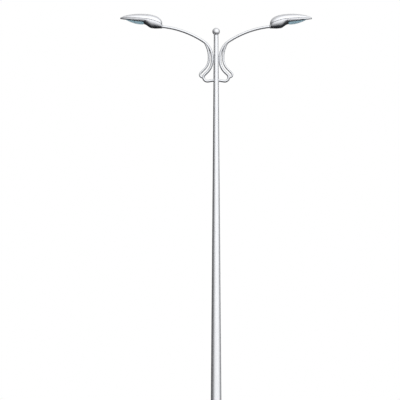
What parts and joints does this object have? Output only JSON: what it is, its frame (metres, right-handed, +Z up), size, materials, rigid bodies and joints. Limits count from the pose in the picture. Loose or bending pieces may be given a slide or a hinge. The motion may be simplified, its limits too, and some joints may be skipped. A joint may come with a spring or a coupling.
{
  "type": "double-arm street lighting column",
  "caption": "Tall tapered street lighting column with a ball finial, mirrored curved arms with scroll tubes and leaf-shaped lamps over the road on each side.",
  "frame": {"origin": "middle of the base plate's underside, at ground level", "axes": "+Z up along the column, the arms along +X and -X, the door towards -Y"},
  "size_m": [5.3296, 0.52, 12.2834],
  "materials": {
    "painted_steel": "gloss silver white paint",
    "lamp_paint": "gloss silver paint on die-cast housings",
    "dark_paint": "satin dark grey paint",
    "fasteners": "stainless screws and bars",
    "lamp_glass": "clear bowl with a blue-green cast",
    "gasket_rubber": "black gasket",
    "reflector_metal": "bright anodised sheet",
    "holder_ceramic": "white glazed",
    "bulb_glass": "pearl lamp glass"
  },
  "bodies": {
    "root": {"base_plate": "painted_steel", "side_ribs": "painted_steel", "corner_ribs": "painted_steel", "base_weld": "painted_steel", "shaft": "painted_steel", "earth_lug": "fasteners", "door_frame": "painted_steel", "door_cover": "painted_steel", "door_lock_bars": "fasteners", "door_lock_screws": "fasteners", "top_cap": "painted_steel", "finial_ball": "painted_steel", "arm_right": "painted_steel", "arm_left": "painted_steel", "scroll_right": "painted_steel", "scroll_left": "painted_steel", "rear_casting_right": "lamp_paint", "rear_casting_left": "lamp_paint", "clamp_screws_right": "fasteners", "clamp_screws_left": "fasteners", "canopy_right": "lamp_paint", "canopy_left": "lamp_paint", "gear_pan_right": "dark_paint", "gear_pan_left": "dark_paint", "glass_frame_right": "dark_paint", "glass_frame_left": "dark_paint", "glass_bowl_right": "lamp_glass", "glass_bowl_left": "lamp_glass", "gasket_right": "gasket_rubber", "gasket_left": "gasket_rubber", "reflector_right": "reflector_metal", "reflector_left": "reflector_metal", "lampholder_right": "holder_ceramic", "lampholder_left": "holder_ceramic", "bulb_right": "bulb_glass", "bulb_left": "bulb_glass"}
  },
  "joints": []
}
